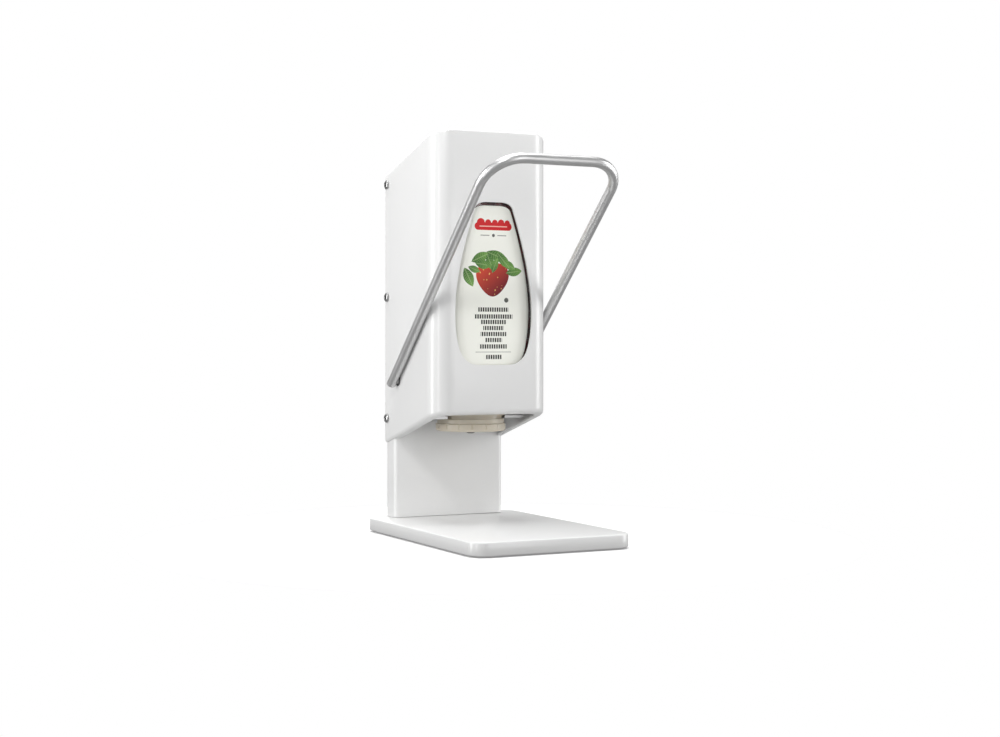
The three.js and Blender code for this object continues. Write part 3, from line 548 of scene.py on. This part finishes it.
EDGE_RADIUS = {
    "hood": 0.35 * MM, "back_column": 0.35 * MM, "base_plate": 0.4 * MM, "bottle_shelf": 0.3 * MM,
    "dosing_head": 0.35 * MM, "dosing_cylinder": 0.3 * MM, "lock_ring": 0.4 * MM,
    "outlet_valve": 0.2 * MM, "neck_seal": 0.4 * MM, "lift_yoke": 0.25 * MM,
}
SMALL_EDGE_RADIUS = 0.2 * MM

smoothing = smoothing_group()


def finish_node(name):
    """Gives a CAD node its material, smooth shading and softened edges."""
    obj = nodes[name]
    obj.data.materials.clear()
    obj.data.materials.append(finishes[slots[name]])
    weld = obj.modifiers.new("weld_and_smooth", "NODES")
    weld.node_group = smoothing
    planar = obj.modifiers.new("planar", "DECIMATE")
    planar.decimate_type = "DISSOLVE"
    planar.angle_limit = FLAT_ANGLE
    edge = obj.modifiers.new("soft_edges", "BEVEL")
    edge.width = EDGE_RADIUS.get(name, SMALL_EDGE_RADIUS)
    edge.segments = 3
    edge.limit_method = "ANGLE"
    edge.angle_limit = SMOOTH_ANGLE
    edge.miter_outer = "MITER_ARC"
    edge.harden_normals = True


# ------------------------------------------------------------------ mesh helpers


def piece(name, verts, faces, slot, body, *stands_for):
    """A smooth mesh piece that rides on a body and stands for CAD nodes."""
    mesh = bpy.data.meshes.new(name)
    mesh.from_pydata([tuple(v) for v in verts], [], faces)
    mesh.validate()
    bm = bmesh.new()
    bm.from_mesh(mesh)
    bmesh.ops.remove_doubles(bm, verts=bm.verts, dist=1e-7)
    bmesh.ops.recalc_face_normals(bm, faces=bm.faces)
    bm.to_mesh(mesh)
    bm.free()
    mesh.materials.append(finishes[slot])
    mesh.shade_smooth()
    mesh.set_sharp_from_angle(angle=SMOOTH_ANGLE)
    obj = bpy.data.objects.new(name, mesh)
    bpy.context.scene.collection.objects.link(obj)
    if body:
        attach(obj, body)
    if stands_for:
        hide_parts(*stands_for)
    return obj


def stitched(rings):
    """Quads between equal rings of points, with a fan over each end."""
    count = len(rings[0])
    verts = [point for ring in rings for point in ring]
    faces = []
    for r in range(len(rings) - 1):
        for i in range(count):
            j = (i + 1) % count
            faces.append((r * count + i, r * count + j, (r + 1) * count + j, (r + 1) * count + i))
    for r in (0, len(rings) - 1):
        verts.append(sum((Vector(p) for p in rings[r]), Vector()) / count)
        hub = len(verts) - 1
        faces += [(r * count + i, r * count + (i + 1) % count, hub) for i in range(count)]
    return verts, faces


def swept(path, radii, sides):
    """A round rod along a path of points, with a radius at each, on a steady frame."""
    points = [Vector(p) for p in path]
    ahead = [
        (points[min(i + 1, len(points) - 1)] - points[max(i - 1, 0)]).normalized()
        for i in range(len(points))
    ]
    side = ahead[0].orthogonal().normalized()
    rings = []
    for point, forward, radius in zip(points, ahead, radii):
        side = (side - forward * side.dot(forward)).normalized()
        up = forward.cross(side)
        rings.append([
            point + (side * math.cos(a) + up * math.sin(a)) * radius
            for a in (2 * math.pi * k / sides for k in range(sides))
        ])
    return stitched(rings)


def lathe(outline, sides):
    """Rings about +Z from (radius, height) points, closed at both ends."""
    turn = [2 * math.pi * k / sides for k in range(sides)]
    return stitched([
        [Vector((radius * math.cos(a), radius * math.sin(a), height)) for a in turn]
        for radius, height in outline
    ])


def joined(*parts):
    """Several (verts, faces) pairs as one."""
    verts, faces = [], []
    for part_verts, part_faces in parts:
        start = len(verts)
        verts += list(part_verts)
        faces += [tuple(start + i for i in face) for face in part_faces]
    return verts, faces


# ------------------------------------------------------------------ screws


SCREW_SIDES = 48
THREAD_PITCH = 0.8 * MM
# head radius, head height and thread radius
BASE_SCREW = (5.5 * MM, 3.3 * MM, 3 * MM)
BODY_SCREW = (4.75 * MM, 2.75 * MM, 2.5 * MM)


def screw_facing(name):
    """Which way along its axis a screw's head faces."""
    return -1 if name.startswith(("hood_screw_left", "shelf_screw")) else 1


def button_screw(name, head_radius, head_height, thread):
    """A button-head screw with a hexagon socket and a rolled thread, in place of its node."""
    low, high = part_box(name)
    size = high - low
    axis = next(k for k in range(3) if abs(size[k] - 2 * head_radius) >= 0.3 * MM)
    outward = Vector((0, 0, 0))
    outward[axis] = screw_facing(name)
    tip = high[axis] if outward[axis] > 0 else low[axis]
    length = size[axis] - head_height

    outline = [(thread * 0.8, -length), (thread * 0.96, -length + 0.3 * MM)]
    for i in range(int((length - 1.5 * MM) / THREAD_PITCH)):
        z = -length + 0.4 * MM + i * THREAD_PITCH
        outline += [(thread * 0.86, z), (thread, z + THREAD_PITCH / 2)]
    outline += [(thread * 0.9, -0.4 * MM), (thread, 0), (head_radius * 0.97, 0)]
    outline += [
        (head_radius * math.cos(a), head_height * (0.3 + 0.7 * math.sin(a)))
        for a in (math.radians(d) for d in range(0, 61, 10))
    ]
    flat = outline[-1][1]
    socket = head_radius * 0.37
    outline += [(socket * 1.35, flat), (socket * 1.2, flat - 0.25 * MM)]
    verts, faces = lathe(outline, SCREW_SIDES)
    verts, faces = verts[:-1], faces[:-SCREW_SIDES]  # the dome's fan gives way to the socket

    rim = len(verts) - SCREW_SIDES
    depth = flat - head_height * 0.75
    for level in (flat - 0.3 * MM, depth):
        for k in range(SCREW_SIDES):
            a = 2 * math.pi * k / SCREW_SIDES
            off_flat = (a + math.pi / 6) % (math.pi / 3) - math.pi / 6
            reach = socket / math.cos(off_flat)
            verts.append(Vector((reach * math.cos(a), reach * math.sin(a), level)))
    for start in (rim, rim + SCREW_SIDES):
        for k in range(SCREW_SIDES):
            n = (k + 1) % SCREW_SIDES
            faces.append((start + k, start + n, start + SCREW_SIDES + n, start + SCREW_SIDES + k))
    verts.append(Vector((0, 0, depth - 0.5 * MM)))
    last, socket_floor = len(verts) - 1, rim + 2 * SCREW_SIDES
    for k in range(SCREW_SIDES):
        faces.append((socket_floor + k, socket_floor + (k + 1) % SCREW_SIDES, last))

    turn = Vector((0, 0, 1)).rotation_difference(outward).to_matrix()
    place = (low + high) / 2
    place[axis] = tip - outward[axis] * head_height
    verts = [turn @ v + place for v in verts]
    return piece(f"{name}_detailed", verts, faces, slots[name], "frame", name)


# ------------------------------------------------------------------ lever

bail_low, bail_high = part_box("lever_bail")
ROD = 5 * MM
ROD_END = ((0, 0.72), (0.35 * MM, 0.9), (1 * MM, 1))  # distance from the end and share of ROD
BAIL_CORNER = 35 * MM
BAIL_TAIL = 7 * MM  # how far the rod runs past the pivot
ARM_STEPS = 24
CORNER_STEPS = 28
GRIP_STEPS = 6
STUB = 4 * MM
STUB_INNER = 49 * MM


def lever_bail():
    """One bent bar, with domed ends, round corners and the grip, and its two pivot stubs."""
    half = bail_high.x - ROD
    bar = Vector((0, bail_low.y + ROD, bail_high.z - ROD)) - pivot
    reach = math.hypot(bar.y, bar.z)
    along = Vector((0, bar.y, bar.z)) / reach
    straight = reach - BAIL_CORNER

    run = straight + BAIL_TAIL
    arm = list(ROD_END) + [(run * i / ARM_STEPS, 1) for i in range(1, ARM_STEPS)]
    left = [(-half, d - BAIL_TAIL, ROD * share) for d, share in arm]
    for i in range(CORNER_STEPS + 1):
        angle = math.pi / 2 * i / CORNER_STEPS
        across = half - BAIL_CORNER * (1 - math.cos(angle))
        left.append((-across, straight + BAIL_CORNER * math.sin(angle), ROD))
    for i in range(GRIP_STEPS - 1, 0, -1):
        left.append((-(half - BAIL_CORNER) * i / GRIP_STEPS, reach, ROD))
    outline = left + [(0, reach, ROD)] + [(-x, d, r) for x, d, r in reversed(left)]
    path = [pivot + Vector((x, 0, 0)) + along * d for x, d, _ in outline]
    parts = [swept(path, [r for _, _, r in outline], 40)]
    for _, side in SIDES:
        ends = (STUB_INNER, STUB_INNER + 0.5 * MM, half - 1 * MM)
        stub = [pivot + Vector((side * x, 0, 0)) for x in ends]
        parts.append(swept(stub, [STUB * 0.9, STUB, STUB], 36))
    return piece("lever_bail_bar", *joined(*parts), slots["lever_bail"], "lever", "lever_bail")


# ------------------------------------------------------------------ return springs

SPRING_WIRE = 0.8 * MM
SPRING_COIL = 8.5 * MM
SPRING_ANCHOR = 50.3 * MM
SPRING_SPAN = 5 * MM
SPRING_TURNS = 3
SPRING_LAST = 0.26  # how far the coil runs past its last full turn, radians
SPRING_TAIL = (114, 112, 109.5, 107, 104.5, 102, 99.5)  # y of the straight tail's points, mm
SPRING_LEG = (3, 6, 10, 14, 18, 20)  # distance of the leg's points from the coil, mm


def return_spring(side_name, side):
    """Torsion spring: hooked into the column, wound round the boss, under the peg."""
    tail_z = pivot.z - SPRING_COIL
    path = [Vector((side * SPRING_ANCHOR, y * MM, tail_z)) for y in SPRING_TAIL]
    sweep = 2 * math.pi * SPRING_TURNS + SPRING_LAST
    steps = 40 * SPRING_TURNS
    for i in range(steps + 1):
        angle = sweep * i / steps
        across = SPRING_ANCHOR + SPRING_SPAN * angle / (2 * math.pi * SPRING_TURNS)
        path.append(Vector((
            side * across,
            pivot.y - SPRING_COIL * math.sin(angle),
            pivot.z - SPRING_COIL * math.cos(angle),
        )))
    leg = Vector((0, -math.cos(SPRING_LAST), math.sin(SPRING_LAST)))
    path += [path[-1] + leg * (run * MM) for run in SPRING_LEG]
    radii = [SPRING_WIRE] * len(path)
    radii[0] = radii[-1] = SPRING_WIRE * 0.8
    name = f"return_spring_{side_name}"
    spring = piece(f"{name}_wound", *swept(path, radii, 14), "spring_steel", None, name)
    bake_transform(spring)
    return spring


# ------------------------------------------------------------------ bottle

bottle_low, bottle_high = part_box("bottle")
AXIS_Y = 58 * MM
NECK = 24.5 * MM
WALL = 1.3 * MM
SEAT = 141.2 * MM
SHOULDER = 30 * MM  # height over which the round neck turns into the body's section
# height, half width and half depth up the bottle, mm
STATIONS = [
    (141.2, 36, 36), (149.2, 45, 44), (172, 51, 47.6), (222, 53, 49), (262, 49.6, 47.6),
    (300, 42, 43.5), (345, 31, 36),
]
ROUND, SQUARE = 2.3, 5.0  # exponents of the section below and above the shoulder
RING = 128
# depth cut from the neck's radius and height, up one turn of its thread, mm
NECK_THREAD = ((0.9, 0), (0.1, 0.6), (0, 1.0), (0.1, 1.4), (0.9, 2.0))
# share of the width and depth, mm, across the pushed-in base
BASE_DISH = ((0.86, 0.0), (0.8, 0.5), (0.7, 2.2), (0.5, 3.2), (0.2, 3.6))
FILL_TOP = (1.0, 0.97, 0.88, 0.72, 0.52, 0.3, 0.12)  # shares of the width, inwards


def spline(stations, t):
    """Catmull-Rom through rows of numbers; t runs from 0 to the last row's index."""
    i = min(int(t), len(stations) - 2)
    f = t - i
    rows = [stations[max(0, min(len(stations) - 1, k))] for k in (i - 1, i, i + 1, i + 2)]
    if i == 0:
        rows[0] = tuple(2 * a - b for a, b in zip(stations[0], stations[1]))
    if i == len(stations) - 2:
        rows[3] = tuple(2 * a - b for a, b in zip(stations[-1], stations[-2]))
    p0, p1, p2, p3 = rows
    return tuple(
        0.5 * (2 * b + (c - a) * f + (2 * a - 5 * b + 4 * c - d) * f ** 2
               + (3 * b - a - 3 * c + d) * f ** 3)
        for a, b, c, d in zip(p0, p1, p2, p3)
    )


def section(t):
    """Height, half width, half depth, middle and squareness at a place up the bottle."""
    z, half, depth = (v * MM for v in spline(STATIONS, t))
    rise = max(0.0, min(1.0, (z - SEAT) / SHOULDER))
    middle = AXIS_Y + (bottle_low.y + depth - AXIS_Y) * rise
    ease = rise * rise * (3 - 2 * rise)
    return z, half, depth, middle, ROUND + (SQUARE - ROUND) * ease


def bottle_ring(z, half, depth, middle, square):
    """Points round a level section of the bottle."""
    ring = []
    for k in range(RING):
        a = 2 * math.pi * k / RING
        c, s = math.cos(a), math.sin(a)
        reach = (abs(c) ** square + abs(s) ** square) ** (-1 / square)
        ring.append(Vector((half * c * reach, middle + depth * s * reach, z)))
    return ring


def body_rings(inset, top, steps=64):
    """Rings from the shoulder to the bottle's end, inset from its outer face."""
    rings = []
    for i in range(steps + 1):
        z, half, depth, middle, square = section((len(STATIONS) - 1) * i / steps)
        rings.append((z, half - inset, depth - inset, middle, square))
    z, half, depth, middle, square = rings[-1]
    dome = top - inset - z
    for i in range(1, 11):
        angle = math.radians(8.4) * i
        shrink = 1 - (1 - math.cos(angle)) * 0.72
        rings.append((z + dome * math.sin(angle), half * shrink, depth * shrink, middle, square))
    return rings


def round_ring(radius, z):
    """A round section about the neck's axis."""
    return (z, radius, radius, AXIS_Y, 2.0)


def dished(rings):
    """The rings, with the bottle's pushed-in base after them."""
    z, half, depth, middle, square = rings[-1]
    return rings + [
        (z - dip * MM, half * scale, depth * scale, middle, square) for scale, dip in BASE_DISH
    ]


def bottle():
    """Blown bottle, neck down: threaded neck, shoulder, body and a pushed-in base."""
    top, foot = bottle_high.z, bottle_low.z
    outer = [round_ring(NECK - 0.6 * MM, foot), round_ring(NECK - 0.2 * MM, foot + 0.3 * MM)]
    for i in range(3):
        z = foot + (1.6 + 2.9 * i) * MM
        outer += [round_ring(NECK - cut * MM, z + up * MM) for cut, up in NECK_THREAD]
    outer += [round_ring(NECK - 0.9 * MM, SEAT - 1.6 * MM), round_ring(NECK, SEAT - 0.6 * MM)]
    outer += [round_ring(NECK + 2 * MM, SEAT)] + body_rings(0, top)

    bore = NECK - WALL - 0.6 * MM
    (z, *shape), *body = body_rings(WALL, top)
    inner = [round_ring(bore, foot), round_ring(bore, SEAT), (z + WALL, *shape)] + body

    loops = [bottle_ring(*r) for r in reversed(dished(inner))]
    loops += [bottle_ring(*r) for r in dished(outer)]
    return piece("squeeze_bottle", *stitched(loops), "clear_bottle", "bottle", "bottle")


def jam():
    """The fill, against the bottle's wall, with a soft uneven top."""
    low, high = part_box("jam_fill")
    body = [r for r in body_rings(WALL - 0.12 * MM, bottle_high.z) if r[0] < high.z - 1.2 * MM]
    neck = [round_ring(NECK - WALL - 0.5 * MM, z) for z in (low.z, SEAT - 2 * MM)]
    rings = [bottle_ring(*r) for r in neck + body]
    z, half, depth, middle, square = body[-1]
    for scale in FILL_TOP:
        ring = bottle_ring(high.z - 0.9 * MM, half * scale, depth * scale, middle, square)
        swell = 2.2 * MM * (1 if scale < 1 else 0.3)
        for p in ring:
            p.z += swell * noise.noise(p * 60) - 2 * MM * (1 - scale)
        rings.append(ring)
    return piece("fruit_spread_fill", *stitched(rings), "fruit_spread", "bottle", "jam_fill")


# ------------------------------------------------------------------ label

LABEL_FACES = (0.6 * MM, 0.05 * MM)  # how far its outer and inner faces stand off the bottle
LABEL_COLUMNS = 40
# the right-hand edge from the bottom up, mm across and up: a start, then curves of three points
LABEL_FOOT = (18, 172)
LABEL_CURVES = (
    ((30, 173), (37, 181), (40, 199)),
    ((42, 207), (43.2, 217), (43.6, 229)),
    ((43.6, 262), (31.2, 299.8), (21.5, 328.3)),
    ((20, 332.8), (16, 334.6), (9, 335.2)),
)


def bezier(a, b, c, d, steps=24):
    """Points along a cubic curve, without its first."""
    for k in range(1, steps + 1):
        t = k / steps
        u = 1 - t
        yield tuple(
            u ** 3 * p + 3 * u * u * t * q + 3 * u * t * t * r + t ** 3 * s
            for p, q, r, s in zip(a, b, c, d)
        )


def label_outline():
    """The label's right-hand edge, bottom to top, as (half width, height) in mm."""
    edge = [LABEL_FOOT]
    for curve in LABEL_CURVES:
        edge += bezier(edge[-1], *curve)
    return edge


def bottle_face(x, z):
    """The bottle's front face at a place, from its section at that height."""
    low, high = 0.0, float(len(STATIONS) - 1)
    for _ in range(30):
        halfway = (low + high) / 2
        if section(halfway)[0] < z:
            low = halfway
        else:
            high = halfway
    _, half, depth, middle, square = section(low)
    return middle - depth * (1 - min(1.0, abs(x / half)) ** square) ** (1 / square)


def bottle_label():
    """Printed film wrapped on the bottle's front, cut to the window's shape."""
    rows = label_outline()
    verts, faces = [], []
    for stand_off in LABEL_FACES:
        for half, height in rows:
            for k in range(LABEL_COLUMNS + 1):
                x, z = half * MM * (2 * k / LABEL_COLUMNS - 1), height * MM
                verts.append((x, bottle_face(x, z) - stand_off, z))
    width, last = LABEL_COLUMNS + 1, len(rows) - 1
    back = len(rows) * width
    for r in range(last):
        for k in range(LABEL_COLUMNS):
            a = r * width + k
            b = back + a
            faces += [(a, a + 1, a + width + 1, a + width), (b + width, b + width + 1, b + 1, b)]
    rim = list(range(width))
    rim += [r * width + LABEL_COLUMNS for r in range(1, len(rows))]
    rim += [last * width + k for k in range(LABEL_COLUMNS - 1, -1, -1)]
    rim += [r * width for r in range(last - 1, 0, -1)]
    for a, b in zip(rim, rim[1:] + rim[:1]):
        faces.append((a, back + a, back + b, b))
    return piece("printed_label", verts, faces, "label_film", "bottle", "bottle_label")


# ------------------------------------------------------------------ put together

replaced = {"lever_bail", "bottle", "jam_fill", "bottle_label"}
for name in nodes:
    if "screw" in name and "grub" not in name:
        button_screw(name, *(BASE_SCREW if name.startswith("base") else BODY_SCREW))
        replaced.add(name)
for side_name, side in SIDES:
    return_spring(side_name, side)
    replaced.add(f"return_spring_{side_name}")
lever_bail()
bottle()
jam()
bottle_label()
for name in nodes:
    if name not in replaced:
        finish_node(name)


# ------------------------------------------------------------------ studio


FLOOR_RADIUS = 0.36
FLOOR_SIDES = 96
AIM = (0, 0.03, 0.24)
# name, place, width, height and power of each light, all turned to AIM
SOFTBOXES = (
    ("key", (-0.91, -1.13, 1.3), 0.28, 0.28, 7),
    ("left_strip", (-1.15, 0.22, 0.35), 0.2, 1.3, 8),
    ("right_panel", (0.95, -0.35, 0.35), 0.4, 0.9, 5),
    ("front_fill", (0.25, -1.2, 0.3), 0.5, 0.7, 2.6),
    ("corner_strip", (-1.1, -0.5, 0.25), 0.12, 1.1, 2.5),
    ("overhead", (0, 0.1, 1.5), 0.9, 0.9, 20),
    ("backlight", (0.2, 1.5, 0.7), 1.2, 1.0, 6),
)
UPPER_LEFT = (-0.45, -0.15, 0.88)
AMBIENT = (0.35, 0.32)  # strength of the surround away from UPPER_LEFT and towards it


def floor():
    """A small round table top, seen as white as the surround; it lights no piece from below."""
    turn = [2 * math.pi * k / FLOOR_SIDES for k in range(FLOOR_SIDES)]
    verts = [(FLOOR_RADIUS * math.cos(a), FLOOR_RADIUS * math.sin(a), 0) for a in turn]
    mesh = bpy.data.meshes.new("studio_floor")
    mesh.from_pydata(verts, [], [tuple(range(FLOOR_SIDES))])
    mesh.materials.append(floor_paint())
    obj = bpy.data.objects.new("studio_floor", mesh)
    obj.visible_diffuse = False
    obj.visible_glossy = False
    bpy.context.scene.collection.objects.link(obj)


def softbox(name, place, width, height, power):
    """A rectangular light turned to AIM and unseen by the camera."""
    light = bpy.data.lights.new(name, "AREA")
    light.shape = "RECTANGLE"
    light.size, light.size_y = width, height
    light.energy = power
    obj = bpy.data.objects.new(name, light)
    obj.location = place
    obj.rotation_euler = (Vector(AIM) - Vector(place)).to_track_quat("-Z", "Y").to_euler()
    obj.visible_camera = False
    bpy.context.scene.collection.objects.link(obj)


def surround():
    """A world that the camera sees as plain white and that lights the pieces softly."""
    world = bpy.data.worlds.new("studio")
    bpy.context.scene.world = world
    world.use_nodes = True
    tree = world.node_tree
    background = tree.nodes["Background"]
    background.inputs["Color"].default_value = (1, 1, 1, 1)
    heading = tree.nodes.new("ShaderNodeTexCoord")
    towards = tree.nodes.new("ShaderNodeVectorMath")
    towards.operation = "DOT_PRODUCT"
    towards.inputs[1].default_value = Vector(UPPER_LEFT).normalized()
    fill = tree.nodes.new("ShaderNodeMapRange")
    for socket, number in zip(fill.inputs[1:5], (-1, 1, *AMBIENT)):
        socket.default_value = number
    seen = tree.nodes.new("ShaderNodeLightPath")
    level = tree.nodes.new("ShaderNodeMapRange")
    level.inputs["To Max"].default_value = 1.0
    tree.links.new(heading.outputs["Generated"], towards.inputs[0])
    tree.links.new(towards.outputs["Value"], fill.inputs["Value"])
    tree.links.new(fill.outputs[0], level.inputs["To Min"])
    tree.links.new(seen.outputs["Is Camera Ray"], level.inputs["Value"])
    tree.links.new(level.outputs[0], background.inputs["Strength"])


def camera():
    """The catalogue view: from the front left, level with the middle of the hood."""
    data = bpy.data.cameras.new("camera")
    data.lens = 61.24
    data.sensor_width = 36
    data.shift_y = -0.0285
    obj = bpy.data.objects.new("camera", data)
    obj.location = (-0.76505, -1.52284, 0.20009)
    obj.rotation_euler = (math.pi / 2, 0, -0.468)
    bpy.context.scene.collection.objects.link(obj)
    bpy.context.scene.camera = obj


floor()
surround()
for row in SOFTBOXES:
    softbox(*row)
camera()
bpy.context.scene.view_settings.view_transform = "Standard"
